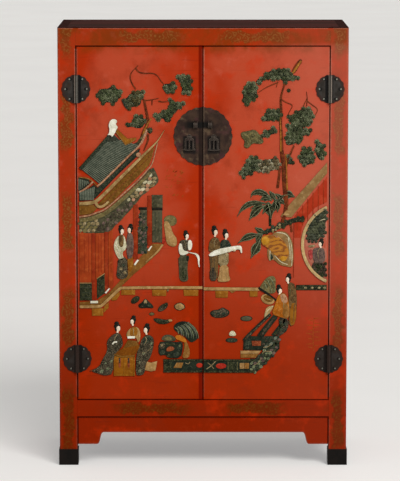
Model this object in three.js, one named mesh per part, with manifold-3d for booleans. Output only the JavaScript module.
// A red lacquer cabinet in the Chinese square-corner form: four posts that run down to the floor,
// mortised rails, floating panels, shaped aprons, metal foot shoes, and two flush doors hung on round
// lobed hinges, with a round lobed lock plate in two halves and two openwork pendant pulls.
// Millimetres, +Z up, the front faces -Y. The origin is on the floor, under the middle of the object.
import * as THREE from 'three';
import { mergeVertices } from 'three/addons/utils/BufferGeometryUtils.js';
import Module from 'manifold-3d';

const wasm = await Module();
wasm.setup();

// Overall sizes, measured over the posts
const cabinetWidth = 1000;
const cabinetDepth = 480;
const cabinetHeight = 1527;
const legHeight = 170; // floor to the underside of the lower rails

// Clearances
const fitGap = 0.3; // between two pieces that seat on each other
const cutOverrun = 2; // how far a cutter runs past the face that it opens
const doorGap = 2; // between a door's edge and the frame round it
const seamGap = 3; // between the two doors
const stopGap = 1; // between the left door's back and the shelves that stop it
const leftDoorSetback = 4; // the left door closes a little deeper than the right one
const rightDoorSetback = 0.5;

// Posts and rails
const postWidth = 62;
const postDepth = 56;
const postArris = 5; // round on the outer corner of each post
const topRailHeight = 62;
const bottomRailHeight = 60;
const railThickness = 40;
const tenonLength = 28;
const tenonThickness = 13;
const tenonShoulder = 9;

// Panels, which float in grooves
const panelThickness = 12;
const panelInset = 8; // from the outer face of the posts
const panelTongue = 8; // how deep the panel's edge enters its groove
const topPanelThickness = 14;
const floorPanelThickness = 14;
const floorPanelDrop = 6; // from the top of the lower rails down to the floor panel

// Aprons under the lower rails
const apronThickness = 18;
const apronInset = 5; // behind the face of the rail
const apronHousing = 6; // how deep the apron's ends enter the posts
const apronDepth = 55; // rail down to the straight lower edge
const apronDropDepth = 97; // rail down to the foot of the end drops
const frontDropWidth = 68; // flat foot of a front drop
const sideDropWidth = 42;
const ogeeWidth = 23; // from the drop's flat foot to the straight lower edge
const ogeeTangentShare = 0.62; // of the ogee's width, to each control point
const ogeeSteps = 8;

// Foot shoes, folded from sheet metal
const shoeHeight = 56;
const shoeSheet = 2.4;

// Shelves and the bearers that carry them
const shelfThickness = 18;
const lowerShelfRise = 430; // lower rails up to the top of the lower shelf
const upperShelfDrop = 405; // upper rails down to the top of the upper shelf
const bearerHeight = 26;
const bearerThickness = 22;
const bearerTenonLength = 14;
const bearerTenonThickness = 9;
const bearerTenonShoulder = 4;

// Doors: one board each, kept flat by two battens in sliding dovetails
const doorThickness = 20;
const doorArris = 1.2; // ease on the door's edges
const battenStand = 13; // behind the door's back
const battenHeight = 46;
const dovetailDepth = 7;
const dovetailFlare = 4; // how much wider the dovetail gets on each side
const dovetailNeck = 34; // height of the dovetail where it enters the door
const battenStop = 30; // the dovetail stops this far from the door's closing edge
const battenHingeInset = 4; // the batten ends this far inside the door's hinge edge
const battenFromEnd = 190; // middle of a batten to the door's end

// Hinges
const hingeDiameter = 100;
const hingeLobeDepth = 3;
const hingeLobes = 14;
const lowerHingeRise = 146; // lower rail up to the middle of the lower hinges
const upperHingeDrop = 149; // upper rail down to the middle of the upper hinges
const leafThickness = 2.5;
const barrelDiameter = 14.5;
const pinDiameter = 6;
const pinHeadDiameter = 10;
const pinHeadHeight = 3;
const knuckleCount = 5;
const postLeafGroove = 0.5; // channel in the plate, beside the barrel
const doorLeafGroove = 9;
const grooveSheet = 1.2; // metal left behind the channel
const grooveTuck = 2; // how far the channel runs behind the barrel
const studDiameter = 9;
const studHeight = 3;
const innerStudOut = 22; // upper and lower studs, from the hinge axis
const innerStudUp = 34;
const outerStudOut = 37; // middle stud, from the hinge axis

// Lock plate, in two halves
const lockPlateDiameter = 204;
const lockPlateThickness = 2.5;
const lockPlateDrop = 312; // upper rail down to the middle of the plate
const lockLobeDepth = 3.5;
const lockLobes = 24;
const lobeSteps = 5;

// Lock loops, through which the bar of a padlock slides
const loopRise = 39; // above the middle of the lock plate
const loopTall = 27;
const loopWidth = 13;
const loopReach = 17;
const loopWall = 4;
const loopLegWidth = 6;
const leftLoopFromSeam = 26;
const rightLoopFromSeam = 24;

// Pulls and the eyes that they hang in
const pullDrop = 2; // the pull's pivot, below the middle of the lock plate
const leftPullFromSeam = 47;
const rightPullFromSeam = 37;
const eyeReach = 7; // pivot to the face of the lock plate
const eyeDiameter = 10;
const eyeWidth = 5;
const shankDiameter = 5;
const rosetteDiameter = 17;
const rosetteThickness = 1.6;
const pullThickness = 4;
const pullBarDiameter = 4;
const pullNeckWidth = 18;
const pullShoulderWidth = 32;
const pullFootWidth = 43;
const pullLength = 47; // pivot to the middle of the foot
const pullShoulderDrop = 12;
const pullFlareDrop = 33;
const pullFootSag = 3; // the foot's middle hangs this much below its corners
const pullSlotWidth = 6;
const pullSlotTop = 11;
const pullSlotBottom = 39;
const pullMidBar = 4;

// Facets round a circle, and along an eased edge
const arrisSteps = 3;
const barrelSides = 20;
const smallSides = 12;
const domeSteps = 3;

// Places worked out from the sizes above
const frontFace = -cabinetDepth / 2;
const backFace = cabinetDepth / 2;
const sideFace = cabinetWidth / 2;
const openingHalf = sideFace - postWidth;
const lowerRailTop = legHeight + bottomRailHeight;
const upperRailUnderside = cabinetHeight - topRailHeight;
const lowerShelfTop = lowerRailTop + lowerShelfRise;
const upperShelfTop = upperRailUnderside - upperShelfDrop;
const lockPlateHeight = upperRailUnderside - lockPlateDrop;
const loopHeight = lockPlateHeight + loopRise;
const pullHeight = lockPlateHeight - pullDrop;
const hingeHeights = { lower: lowerRailTop + lowerHingeRise, upper: upperRailUnderside - upperHingeDrop };
const hingeAxisX = openingHalf - doorGap / 2;
const barrelRadius = barrelDiameter / 2;
const hingeAxisY = frontFace - fitGap - barrelRadius;
const shoeProud = fitGap + shoeSheet;
const barrelLength = hingeDiameter - 2 * (pinHeadHeight + fitGap);
const pinFitRadius = pinDiameter / 2 + fitGap;

// Finishes
const redLacquer = new THREE.MeshStandardMaterial({ color: 0xa5442f, roughness: 0.42, metalness: 0 });
const darkLacquer = new THREE.MeshStandardMaterial({ color: 0x3a1f1b, roughness: 0.5, metalness: 0 });
const plainWood = new THREE.MeshStandardMaterial({ color: 0x7a5638, roughness: 0.75, metalness: 0 });
const darkMetal = new THREE.MeshStandardMaterial({ color: 0x4a423c, roughness: 0.48, metalness: 0.8 });

// Geometry to solid and back
function solidOf(geometry) {
  const plain = geometry.index ? geometry.toNonIndexed() : geometry;
  plain.deleteAttribute('normal');
  plain.deleteAttribute('uv');
  const merged = mergeVertices(plain);
  return new wasm.Manifold(new wasm.Mesh({
    numProp: 3,
    vertProperties: new Float32Array(merged.attributes.position.array),
    triVerts: new Uint32Array(merged.index.array),
  }));
}

function geometryOf(solid) {
  const mesh = solid.getMesh();
  const geometry = new THREE.BufferGeometry();
  geometry.setAttribute('position', new THREE.BufferAttribute(new Float32Array(mesh.vertProperties), 3));
  geometry.setIndex(new THREE.BufferAttribute(new Uint32Array(mesh.triVerts), 1));
  geometry.computeVertexNormals();
  return geometry;
}

function piece(name, solid, material) {
  const mesh = new THREE.Mesh(geometryOf(solid), material);
  mesh.name = name;
  return mesh;
}

function joined(solids) {
  return solids.reduce((whole, next) => whole.add(next));
}

function cut(solid, cutters) {
  return cutters.reduce((whole, next) => whole.subtract(next), solid);
}

// A block between two values on each axis, given in either order
function block(xs, ys, zs) {
  const low = [xs, ys, zs].map((pair) => Math.min(...pair));
  const high = [xs, ys, zs].map((pair) => Math.max(...pair));
  const size = high.map((value, axis) => value - low[axis]);
  const middle = high.map((value, axis) => (value + low[axis]) / 2);
  return solidOf(new THREE.BoxGeometry(...size).translate(...middle));
}

// The same block with every face moved out, to cut a housing for it
function grown(xs, ys, zs, out) {
  const wider = (pair) => [Math.min(...pair) - out, Math.max(...pair) + out];
  return block(wider(xs), wider(ys), wider(zs));
}

// An outline drawn in x and z, given thickness from yBack towards the front
function plateFrom(shape, yBack, thickness, curveSegments = lobeSteps) {
  const geometry = new THREE.ExtrudeGeometry(shape, { depth: thickness, bevelEnabled: false, curveSegments });
  return solidOf(geometry.rotateX(Math.PI / 2).translate(0, yBack, 0));
}

// A board lying in the x-z plane whose edges are all eased, front and back
function easedBoard(xs, ys, zs, arris) {
  const [x0, x1] = [Math.min(...xs), Math.max(...xs)];
  const shape = new THREE.Shape();
  shape.moveTo(x0, zs[0]);
  shape.lineTo(x1, zs[0]);
  shape.lineTo(x1, zs[1]);
  shape.lineTo(x0, zs[1]);
  shape.closePath();
  const geometry = new THREE.ExtrudeGeometry(shape, {
    depth: ys[1] - ys[0] - 2 * arris,
    bevelThickness: arris,
    bevelSize: arris,
    bevelOffset: -arris,
    bevelSegments: arrisSteps,
  });
  return solidOf(geometry.rotateX(Math.PI / 2).translate(0, ys[1] - arris, 0));
}

function roundBar(direction, radius, length, centre, sides) {
  const geometry = new THREE.CylinderGeometry(radius, radius, length, sides);
  if (direction === 'x') geometry.rotateZ(Math.PI / 2);
  if (direction === 'z') geometry.rotateX(Math.PI / 2);
  return solidOf(geometry.translate(...centre));
}

// A low dome whose flat side lies on the plane y = yBase and whose crown points to the front
function dome(diameter, height, x, yBase, z) {
  const profile = [new THREE.Vector2(0, -height / 2)];
  profile.push(new THREE.Vector2(diameter / 2, -height / 2));
  for (let step = 0; step <= domeSteps; step += 1) {
    const angle = (step / domeSteps) * (Math.PI / 2);
    const out = step === domeSteps ? 0 : (diameter / 2) * Math.cos(angle);
    profile.push(new THREE.Vector2(out, height * Math.sin(angle)));
  }
  const geometry = new THREE.LatheGeometry(profile, smallSides);
  return solidOf(geometry.rotateX(Math.PI).translate(x, yBase, z));
}

// A disc whose rim is a row of shallow round lobes
function lobedDisc(diameter, lobes, lobeDepth, cx, cz) {
  const shape = new THREE.Shape();
  const steps = lobes * lobeSteps;
  for (let step = 0; step < steps; step += 1) {
    const angle = (step / steps) * 2 * Math.PI;
    const dip = 1 - Math.abs(Math.cos((lobes * angle) / 2));
    const radius = diameter / 2 - lobeDepth * dip;
    const x = cx + radius * Math.cos(angle);
    const z = cz + radius * Math.sin(angle);
    if (step === 0) shape.moveTo(x, z);
    else shape.lineTo(x, z);
  }
  shape.closePath();
  return shape;
}

// Joinery
// A rail with a tenon on each end. The long axis is x for front and back rails, y for side rails.
function railBoxes(long, across, height, alongX) {
  const shoulder = [long[0] + fitGap, long[1] - fitGap];
  const ends = [long[0] - tenonLength, long[1] + tenonLength];
  const middle = (across[0] + across[1]) / 2;
  const cheeks = [middle - tenonThickness / 2, middle + tenonThickness / 2];
  const edges = [height[0] + tenonShoulder, height[1] - tenonShoulder];
  const body = alongX ? [shoulder, across, height] : [across, shoulder, height];
  const tongue = alongX ? [ends, cheeks, edges] : [cheeks, ends, edges];
  return { body, tongue };
}

const upperZ = [upperRailUnderside, cabinetHeight];
const lowerZ = [legHeight, lowerRailTop];
const frontY = [frontFace, frontFace + railThickness];
const backY = [backFace - railThickness, backFace];
const leftX = [-sideFace, -sideFace + railThickness];
const rightX = [sideFace - railThickness, sideFace];
const clearX = [-openingHalf, openingHalf];
const clearY = [frontFace + postDepth, backFace - postDepth];

const rails = {
  front_top_rail: railBoxes(clearX, frontY, upperZ, true),
  back_top_rail: railBoxes(clearX, backY, upperZ, true),
  front_bottom_rail: railBoxes(clearX, frontY, lowerZ, true),
  back_bottom_rail: railBoxes(clearX, backY, lowerZ, true),
  left_top_rail: railBoxes(clearY, leftX, upperZ, false),
  right_top_rail: railBoxes(clearY, rightX, upperZ, false),
  left_bottom_rail: railBoxes(clearY, leftX, lowerZ, false),
  right_bottom_rail: railBoxes(clearY, rightX, lowerZ, false),
};

// Panels, each a block whose edges enter the grooves
const betweenRails = [lowerRailTop - panelTongue, upperRailUnderside + panelTongue];
const betweenPostsX = [-openingHalf - panelTongue, openingHalf + panelTongue];
const betweenPostsY = [clearY[0] - panelTongue, clearY[1] + panelTongue];
const panelOuter = sideFace - panelInset;
const panelInner = panelOuter - panelThickness;
const backPanelY = [backFace - panelInset - panelThickness, backFace - panelInset];
const insideRailsX = [leftX[1] - panelTongue, rightX[0] + panelTongue];
const insideRailsY = [frontY[1] - panelTongue, backY[0] + panelTongue];
const floorZ = [lowerRailTop - floorPanelDrop - floorPanelThickness, lowerRailTop - floorPanelDrop];
const topZ = [cabinetHeight - topPanelThickness, cabinetHeight];

const panels = {
  left_side_panel: [[-panelOuter, -panelInner], betweenPostsY, betweenRails],
  right_side_panel: [[panelInner, panelOuter], betweenPostsY, betweenRails],
  back_panel: [betweenPostsX, backPanelY, betweenRails],
  floor_panel: [insideRailsX, insideRailsY, floorZ],
  top_panel: [insideRailsX, insideRailsY, topZ],
};

// Bearers between the front and back posts, under each shelf
function bearerBoxes(side, shelfTop) {
  const outer = panelInner - fitGap;
  const across = [side * (outer - bearerThickness), side * outer];
  const height = [shelfTop - shelfThickness - fitGap - bearerHeight, shelfTop - shelfThickness - fitGap];
  const middle = (across[0] + across[1]) / 2;
  const cheeks = [middle - bearerTenonThickness / 2, middle + bearerTenonThickness / 2];
  const ends = [clearY[0] - bearerTenonLength, clearY[1] + bearerTenonLength];
  const edges = [height[0] + bearerTenonShoulder, height[1] - bearerTenonShoulder];
  return {
    body: [across, [clearY[0] + fitGap, clearY[1] - fitGap], height],
    tongue: [cheeks, ends, edges],
  };
}

const bearers = {
  lower_left_bearer: bearerBoxes(-1, lowerShelfTop),
  lower_right_bearer: bearerBoxes(1, lowerShelfTop),
  upper_left_bearer: bearerBoxes(-1, upperShelfTop),
  upper_right_bearer: bearerBoxes(1, upperShelfTop),
};

// Aprons: the outline is drawn along u, from the middle, with z measured down from the rail
function apronOutline(halfLength, halfClear, dropWidth) {
  const top = legHeight - fitGap;
  const edge = legHeight - apronDepth;
  const foot = legHeight - apronDropDepth;
  const ogeeFoot = halfClear - dropWidth;
  const ogeeHead = ogeeFoot - ogeeWidth;
  const pull = ogeeWidth * ogeeTangentShare;
  const shape = new THREE.Shape();
  shape.moveTo(-halfLength, top);
  shape.lineTo(-halfLength, foot);
  shape.lineTo(-ogeeFoot, foot);
  shape.bezierCurveTo(-ogeeFoot + pull, foot, -ogeeHead - pull, edge, -ogeeHead, edge);
  shape.lineTo(ogeeHead, edge);
  shape.bezierCurveTo(ogeeHead + pull, edge, ogeeFoot - pull, foot, ogeeFoot, foot);
  shape.lineTo(halfLength, foot);
  shape.lineTo(halfLength, top);
  shape.closePath();
  return shape;
}

const apronFront = frontFace + apronInset;
const frontApronBox = [
  [-openingHalf - apronHousing, openingHalf + apronHousing],
  [apronFront, apronFront + apronThickness],
  [legHeight - apronDropDepth, legHeight],
];
const sideApronOuter = sideFace - apronInset;
function sideApronBox(side) {
  return [
    [side * (sideApronOuter - apronThickness), side * sideApronOuter],
    [clearY[0] - apronHousing, clearY[1] + apronHousing],
    [legHeight - apronDropDepth, legHeight],
  ];
}

// A post's section, square but for the round on its outer corner
function postSolid(side, front) {
  const way = front ? -1 : 1;
  const outerX = side * sideFace;
  const outerY = way * backFace;
  const innerX = side * openingHalf;
  const innerY = outerY - way * postDepth;
  const shape = new THREE.Shape();
  shape.moveTo(innerX, innerY);
  shape.lineTo(outerX, innerY);
  for (let step = 0; step <= arrisSteps; step += 1) {
    const angle = (step / arrisSteps) * (Math.PI / 2);
    const x = outerX - side * postArris * (1 - Math.cos(angle));
    const y = outerY - way * postArris * (1 - Math.sin(angle));
    shape.lineTo(x, y);
  }
  shape.lineTo(innerX, outerY);
  shape.closePath();
  const geometry = new THREE.ExtrudeGeometry(shape, { depth: cabinetHeight - shoeProud, bevelEnabled: false });
  return solidOf(geometry.translate(0, 0, shoeProud));
}

// Each post is cut by every tenon, panel and apron that enters it
function makePost(side, front) {
  const cutters = [];
  for (const member of [...Object.values(rails), ...Object.values(bearers)]) {
    cutters.push(grown(...member.tongue, fitGap));
  }
  for (const name of ['left_side_panel', 'right_side_panel', 'back_panel']) {
    cutters.push(grown(...panels[name], fitGap));
  }
  cutters.push(grown(...frontApronBox, fitGap));
  cutters.push(grown(...sideApronBox(side), fitGap));
  return cut(postSolid(side, front), cutters);
}

function makeRail(boxes, grooves) {
  const rail = block(...boxes.body).add(block(...boxes.tongue));
  return cut(rail, grooves.map((groove) => grown(...groove, fitGap)));
}

function makeShoe(side, front) {
  const xs = [side * (openingHalf - shoeProud), side * (sideFace + shoeProud)];
  const ys = front
    ? [frontFace - shoeProud, frontFace + postDepth + shoeProud]
    : [backFace - postDepth - shoeProud, backFace + shoeProud];
  const inner = (pair) => [Math.min(...pair) + shoeSheet, Math.max(...pair) - shoeSheet];
  const hollow = block(inner(xs), inner(ys), [shoeSheet, shoeHeight + cutOverrun]);
  return block(xs, ys, [0, shoeHeight]).subtract(hollow);
}

// A flat board notched round the four posts
function notchedBoard(xs, ys, zs) {
  const post = (side, front) => grown(
    [side * openingHalf, side * sideFace],
    front ? [frontFace, frontFace + postDepth] : [backFace - postDepth, backFace],
    [zs[0] - cutOverrun, zs[1] + cutOverrun],
    fitGap,
  );
  return cut(block(xs, ys, zs), [post(-1, true), post(1, true), post(-1, false), post(1, false)]);
}

function makeShelf(shelfTop) {
  const half = panelInner - fitGap;
  const front = frontFace + leftDoorSetback + doorThickness + stopGap;
  const back = backPanelY[0] - fitGap;
  return notchedBoard([-half, half], [front, back], [shelfTop - shelfThickness, shelfTop]);
}

// Door hardware. Each side is given as -1 for left and 1 for right.
function setbackOf(side) {
  return side < 0 ? leftDoorSetback : rightDoorSetback;
}

function doorFaceOf(side) {
  return frontFace + setbackOf(side);
}

// One half of a hinge. It reaches from the axis towards plateSide, and lies on the wood at woodFace.
function makeLeaf(axisX, axisZ, plateSide, woodFace, groove, knuckles) {
  const radius = hingeDiameter / 2;
  const leafBack = woodFace - fitGap;
  const plateFront = leafBack - leafThickness;
  const tabFront = frontFace - fitGap - leafThickness;
  const plateEdge = barrelRadius + groove;
  const disc = plateFrom(lobedDisc(hingeDiameter, hingeLobes, hingeLobeDepth, axisX, axisZ), leafBack, leafThickness);
  const heights = [axisZ - radius - cutOverrun, axisZ + radius + cutOverrun];
  const plate = block(
    [axisX + plateSide * plateEdge, axisX + plateSide * (radius + cutOverrun)],
    [plateFront - cutOverrun, leafBack + cutOverrun],
    heights,
  );
  const channel = block(
    [axisX + plateSide * (barrelRadius - grooveTuck), axisX + plateSide * (plateEdge + cutOverrun)],
    [leafBack - grooveSheet, leafBack + cutOverrun],
    heights,
  );
  const parts = [disc.intersect(plate), disc.intersect(channel)];
  const step = barrelLength / knuckleCount;
  for (const index of knuckles) {
    const low = axisZ - barrelLength / 2 + index * step + fitGap / 2;
    const high = low + step - fitGap;
    parts.push(roundBar('z', barrelRadius, high - low, [axisX, hingeAxisY, (low + high) / 2], barrelSides));
    // The outermost tabs stop inside the round of the plate
    const tabLow = index === 0 ? high - step / 2 : low;
    const tabHigh = index === knuckleCount - 1 ? low + step / 2 : high;
    const tabReach = [axisX, axisX + plateSide * barrelRadius];
    parts.push(block(tabReach, [tabFront, leafBack], [tabLow, tabHigh]));
  }
  for (const [out, up] of [[innerStudOut, innerStudUp], [outerStudOut, 0], [innerStudOut, -innerStudUp]]) {
    parts.push(dome(studDiameter, studHeight, axisX + plateSide * out, plateFront, axisZ + up));
  }
  const bore = roundBar('z', pinFitRadius, hingeDiameter + cutOverrun, [axisX, hingeAxisY, axisZ], barrelSides);
  return joined(parts).subtract(bore);
}

function makePin(axisX, axisZ) {
  const half = barrelLength / 2 + fitGap;
  const profile = [
    new THREE.Vector2(0, -half - pinHeadHeight),
    new THREE.Vector2(pinHeadDiameter / 4, -half - pinHeadHeight),
    new THREE.Vector2(pinHeadDiameter / 2, -half),
    new THREE.Vector2(pinDiameter / 2, -half),
    new THREE.Vector2(pinDiameter / 2, half),
    new THREE.Vector2(pinHeadDiameter / 2, half),
    new THREE.Vector2(pinHeadDiameter / 4, half + pinHeadHeight),
    new THREE.Vector2(0, half + pinHeadHeight),
  ];
  const geometry = new THREE.LatheGeometry(profile, smallSides);
  return solidOf(geometry.rotateX(Math.PI / 2).translate(axisX, hingeAxisY, axisZ));
}

function lockPlateBack(side) {
  return doorFaceOf(side) - fitGap;
}

function lockPlateFront(side) {
  return lockPlateBack(side) - lockPlateThickness;
}

// The two flat legs of a lock loop, which pass through the plate and the door
function loopLegs(side, out) {
  const x = side * (side < 0 ? leftLoopFromSeam : rightLoopFromSeam);
  const legs = [];
  for (const up of [-1, 1]) {
    const z = loopHeight + up * (loopTall / 2 - loopWall / 2);
    legs.push(grown(
      [x - loopLegWidth / 2, x + loopLegWidth / 2],
      [lockPlateFront(side) - loopWall, doorFaceOf(side) + doorThickness + loopWall],
      [z - loopWall / 2, z + loopWall / 2],
      out,
    ));
  }
  return legs;
}

function makeLockLoop(side) {
  const x = side * (side < 0 ? leftLoopFromSeam : rightLoopFromSeam);
  const reach = loopReach - fitGap;
  const outer = loopTall / 2;
  const inner = outer - loopWall;
  const shape = new THREE.Shape();
  shape.moveTo(0, -outer);
  shape.lineTo(reach - outer, -outer);
  shape.absarc(reach - outer, 0, outer, -Math.PI / 2, Math.PI / 2, false);
  shape.lineTo(0, outer);
  shape.lineTo(0, inner);
  shape.lineTo(reach - outer, inner);
  shape.absarc(reach - outer, 0, inner, Math.PI / 2, -Math.PI / 2, true);
  shape.lineTo(0, -inner);
  shape.closePath();
  const geometry = new THREE.ExtrudeGeometry(shape, { depth: loopWidth, bevelEnabled: false, curveSegments: domeSteps * 4 });
  // Drawn as reach out and height up, extruded along the width
  geometry.rotateX(Math.PI / 2).rotateZ(-Math.PI / 2);
  geometry.translate(x + loopWidth / 2, lockPlateFront(side) - fitGap, loopHeight);
  return joined([solidOf(geometry), ...loopLegs(side, 0)]);
}

function pullX(side) {
  return side * (side < 0 ? leftPullFromSeam : rightPullFromSeam);
}

function pullAxisY(side) {
  return lockPlateFront(side) - eyeReach;
}

function shank(side, out) {
  const front = pullAxisY(side);
  const back = doorFaceOf(side) + doorThickness + eyeWidth / 2;
  const radius = shankDiameter / 2 + out;
  return roundBar('y', radius, back - front, [pullX(side), (front + back) / 2, pullHeight], smallSides);
}

function makePullEye(side) {
  const x = pullX(side);
  const y = pullAxisY(side);
  const ring = roundBar('x', eyeDiameter / 2, eyeWidth, [x, y, pullHeight], barrelSides);
  const back = lockPlateFront(side) - fitGap;
  const rosetteMiddle = back - rosetteThickness / 2;
  const rosette = roundBar('y', rosetteDiameter / 2, rosetteThickness, [x, rosetteMiddle, pullHeight], barrelSides);
  const hole = roundBar('x', pullBarDiameter / 2 + fitGap, eyeWidth + cutOverrun, [x, y, pullHeight], smallSides);
  return joined([ring, rosette, shank(side, 0)]).subtract(hole);
}

// The pendant: a bell-shaped plate with two upright slots, hung on a bar between two cheeks
function makePull(side) {
  const cx = pullX(side);
  const cy = pullAxisY(side);
  const cz = pullHeight;
  const barRadius = pullBarDiameter / 2;
  const neck = pullNeckWidth / 2;
  const shoulder = pullShoulderWidth / 2;
  const foot = pullFootWidth / 2;
  const shape = new THREE.Shape();
  shape.moveTo(cx - neck, cz + barRadius);
  shape.lineTo(cx - neck, cz - barRadius * 2);
  shape.quadraticCurveTo(cx - shoulder, cz - barRadius * 2, cx - shoulder, cz - pullShoulderDrop);
  shape.lineTo(cx - shoulder, cz - pullFlareDrop);
  shape.quadraticCurveTo(cx - shoulder, cz - pullLength + pullFootSag * 2, cx - foot, cz - pullLength + pullFootSag);
  shape.quadraticCurveTo(cx, cz - pullLength - pullFootSag, cx + foot, cz - pullLength + pullFootSag);
  shape.quadraticCurveTo(cx + shoulder, cz - pullLength + pullFootSag * 2, cx + shoulder, cz - pullFlareDrop);
  shape.lineTo(cx + shoulder, cz - pullShoulderDrop);
  shape.quadraticCurveTo(cx + shoulder, cz - barRadius * 2, cx + neck, cz - barRadius * 2);
  shape.lineTo(cx + neck, cz + barRadius);
  shape.closePath();
  const plate = plateFrom(shape, cy + pullThickness / 2, pullThickness);
  const past = pullThickness / 2 + cutOverrun;
  const cutters = [];
  for (const way of [-1, 1]) {
    const slotX = [cx + way * (pullMidBar / 2), cx + way * (pullMidBar / 2 + pullSlotWidth)];
    cutters.push(block(slotX, [cy - past, cy + past], [cz - pullSlotBottom, cz - pullSlotTop]));
  }
  // Room for the eye, all the way round the bar
  const eyeRoom = eyeDiameter / 2 + fitGap * 2;
  cutters.push(roundBar('x', eyeRoom, eyeWidth + fitGap * 4, [cx, cy, cz], barrelSides));
  const bar = roundBar('x', barRadius, pullNeckWidth, [cx, cy, cz], smallSides);
  return cut(plate, cutters).add(bar);
}

function makeLockPlate(side) {
  const disc = plateFrom(
    lobedDisc(lockPlateDiameter, lockLobes, lockLobeDepth, 0, lockPlateHeight),
    lockPlateBack(side),
    lockPlateThickness,
  );
  const reach = lockPlateDiameter / 2 + cutOverrun;
  const half = block(
    [side * (seamGap / 2), side * reach],
    [lockPlateFront(side) - cutOverrun, lockPlateBack(side) + cutOverrun],
    [lockPlateHeight - reach, lockPlateHeight + reach],
  );
  return cut(disc.intersect(half), [...loopLegs(side, fitGap), shank(side, fitGap)]);
}

// A batten whose front grows into the door as a sliding dovetail
const doorZ = [lowerRailTop + doorGap, upperRailUnderside - doorGap];
const doorHingeEdge = openingHalf - doorGap;
const doorClosingEdge = seamGap / 2;

function dovetailKey(side, battenMiddle, out, xs) {
  const doorBack = doorFaceOf(side) + doorThickness;
  const neck = dovetailNeck / 2 + out;
  const wide = neck + dovetailFlare;
  const shape = new THREE.Shape();
  shape.moveTo(0, -neck);
  shape.lineTo(dovetailDepth + out, -wide);
  shape.lineTo(dovetailDepth + out, wide);
  shape.lineTo(0, neck);
  shape.lineTo(-cutOverrun, neck);
  shape.lineTo(-cutOverrun, -neck);
  shape.closePath();
  const length = Math.abs(xs[1] - xs[0]);
  const geometry = new THREE.ExtrudeGeometry(shape, { depth: length, bevelEnabled: false });
  // Drawn as depth into the door and height up, extruded along the batten
  geometry.rotateX(Math.PI / 2).rotateZ(-Math.PI / 2);
  geometry.translate(Math.max(...xs), doorBack, battenMiddle);
  return solidOf(geometry);
}

function battenSpan(side) {
  return [side * (doorClosingEdge + battenStop), side * (doorHingeEdge - battenHingeInset)];
}

function makeBatten(side, middle) {
  const doorBack = doorFaceOf(side) + doorThickness;
  const xs = battenSpan(side);
  const bar = block(
    xs,
    [doorBack + fitGap, doorBack + battenStand],
    [middle - battenHeight / 2, middle + battenHeight / 2],
  );
  return bar.add(dovetailKey(side, middle, 0, xs));
}

const battenHeights = { lower: doorZ[0] + battenFromEnd, upper: doorZ[1] - battenFromEnd };

function makeDoorBoard(side) {
  const face = doorFaceOf(side);
  const xs = [side * doorClosingEdge, side * doorHingeEdge];
  const board = easedBoard(xs, [face, face + doorThickness], doorZ, doorArris);
  const slotSpan = [side * (doorClosingEdge + battenStop - fitGap), side * (doorHingeEdge + cutOverrun)];
  const slots = Object.values(battenHeights).map((middle) => dovetailKey(side, middle, fitGap, slotSpan));
  return cut(board, [...slots, ...loopLegs(side, fitGap), shank(side, fitGap)]);
}

// Assembly
const cabinet = new THREE.Group();
const sides = { left: -1, right: 1 };
const postKnuckles = [0, 2, 4];
const doorKnuckles = [1, 3];

for (const [sideName, side] of Object.entries(sides)) {
  for (const front of [true, false]) {
    const place = front ? 'front' : 'back';
    cabinet.add(piece(`${place}_${sideName}_post`, makePost(side, front), redLacquer));
    cabinet.add(piece(`${place}_${sideName}_foot_shoe`, makeShoe(side, front), darkMetal));
  }
}

const groovesOf = {
  front_top_rail: [panels.top_panel],
  back_top_rail: [panels.top_panel, panels.back_panel],
  front_bottom_rail: [panels.floor_panel],
  back_bottom_rail: [panels.floor_panel, panels.back_panel],
  left_top_rail: [panels.top_panel, panels.left_side_panel],
  right_top_rail: [panels.top_panel, panels.right_side_panel],
  left_bottom_rail: [panels.floor_panel, panels.left_side_panel],
  right_bottom_rail: [panels.floor_panel, panels.right_side_panel],
};
for (const [name, boxes] of Object.entries(rails)) {
  cabinet.add(piece(name, makeRail(boxes, groovesOf[name]), redLacquer));
}

for (const name of ['left_side_panel', 'right_side_panel']) {
  cabinet.add(piece(name, block(...panels[name]), redLacquer));
}
cabinet.add(piece('back_panel', block(...panels.back_panel), darkLacquer));
cabinet.add(piece('floor_panel', notchedBoard(...panels.floor_panel), darkLacquer));
cabinet.add(piece('top_panel', notchedBoard(...panels.top_panel), darkLacquer));

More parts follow.
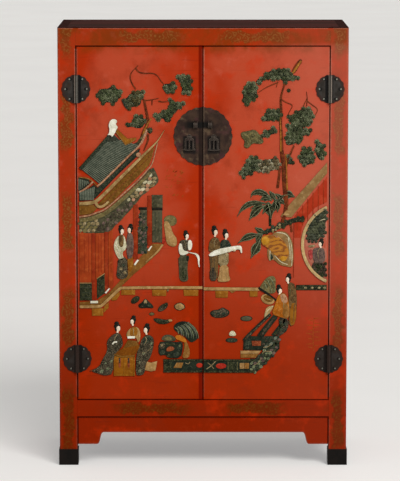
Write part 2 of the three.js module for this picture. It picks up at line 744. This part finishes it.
const frontApron = plateFrom(
  apronOutline(openingHalf + apronHousing, openingHalf, frontDropWidth),
  apronFront + apronThickness,
  apronThickness,
  ogeeSteps,
);
cabinet.add(piece('front_apron', frontApron, redLacquer));
for (const [sideName, side] of Object.entries(sides)) {
  const shape = apronOutline(clearY[1] + apronHousing, clearY[1], sideDropWidth);
  const geometry = new THREE.ExtrudeGeometry(shape, {
    depth: apronThickness,
    bevelEnabled: false,
    curveSegments: ogeeSteps,
  });
  // Drawn along the depth of the cabinet, extruded across it
  geometry.rotateX(Math.PI / 2).rotateZ(Math.PI / 2);
  const inner = side < 0 ? -sideApronOuter : sideApronOuter - apronThickness;
  geometry.translate(inner, 0, 0);
  cabinet.add(piece(`${sideName}_apron`, solidOf(geometry), redLacquer));
}

for (const [name, boxes] of Object.entries(bearers)) {
  cabinet.add(piece(name, block(...boxes.body).add(block(...boxes.tongue)), plainWood));
}
cabinet.add(piece('lower_shelf', makeShelf(lowerShelfTop), plainWood));
cabinet.add(piece('upper_shelf', makeShelf(upperShelfTop), plainWood));

for (const [sideName, side] of Object.entries(sides)) {
  cabinet.add(piece(`${sideName}_door_board`, makeDoorBoard(side), redLacquer));
  for (const [place, middle] of Object.entries(battenHeights)) {
    cabinet.add(piece(`${sideName}_door_${place}_batten`, makeBatten(side, middle), plainWood));
  }
  const axisX = side * hingeAxisX;
  for (const [place, height] of Object.entries(hingeHeights)) {
    const postLeaf = makeLeaf(axisX, height, side, frontFace, postLeafGroove, postKnuckles);
    const doorLeaf = makeLeaf(axisX, height, -side, doorFaceOf(side), doorLeafGroove, doorKnuckles);
    cabinet.add(piece(`${sideName}_${place}_hinge_post_leaf`, postLeaf, darkMetal));
    cabinet.add(piece(`${sideName}_${place}_hinge_door_leaf`, doorLeaf, darkMetal));
    cabinet.add(piece(`${sideName}_${place}_hinge_pin`, makePin(axisX, height), darkMetal));
  }
  cabinet.add(piece(`${sideName}_lock_plate`, makeLockPlate(side), darkMetal));
  cabinet.add(piece(`${sideName}_lock_loop`, makeLockLoop(side), darkMetal));
  cabinet.add(piece(`${sideName}_pull_eye`, makePullEye(side), darkMetal));
  cabinet.add(piece(`${sideName}_pull`, makePull(side), darkMetal));
}

// The origin stands under the middle of the whole, hardware and shoes included
const loopFront = Math.min(...Object.values(sides).map((side) => lockPlateFront(side) - loopReach));
const barrelFront = hingeAxisY - barrelRadius;
const frontReach = frontFace - Math.min(loopFront, barrelFront);
cabinet.position.y = (frontReach - shoeProud) / 2;

export default cabinet;
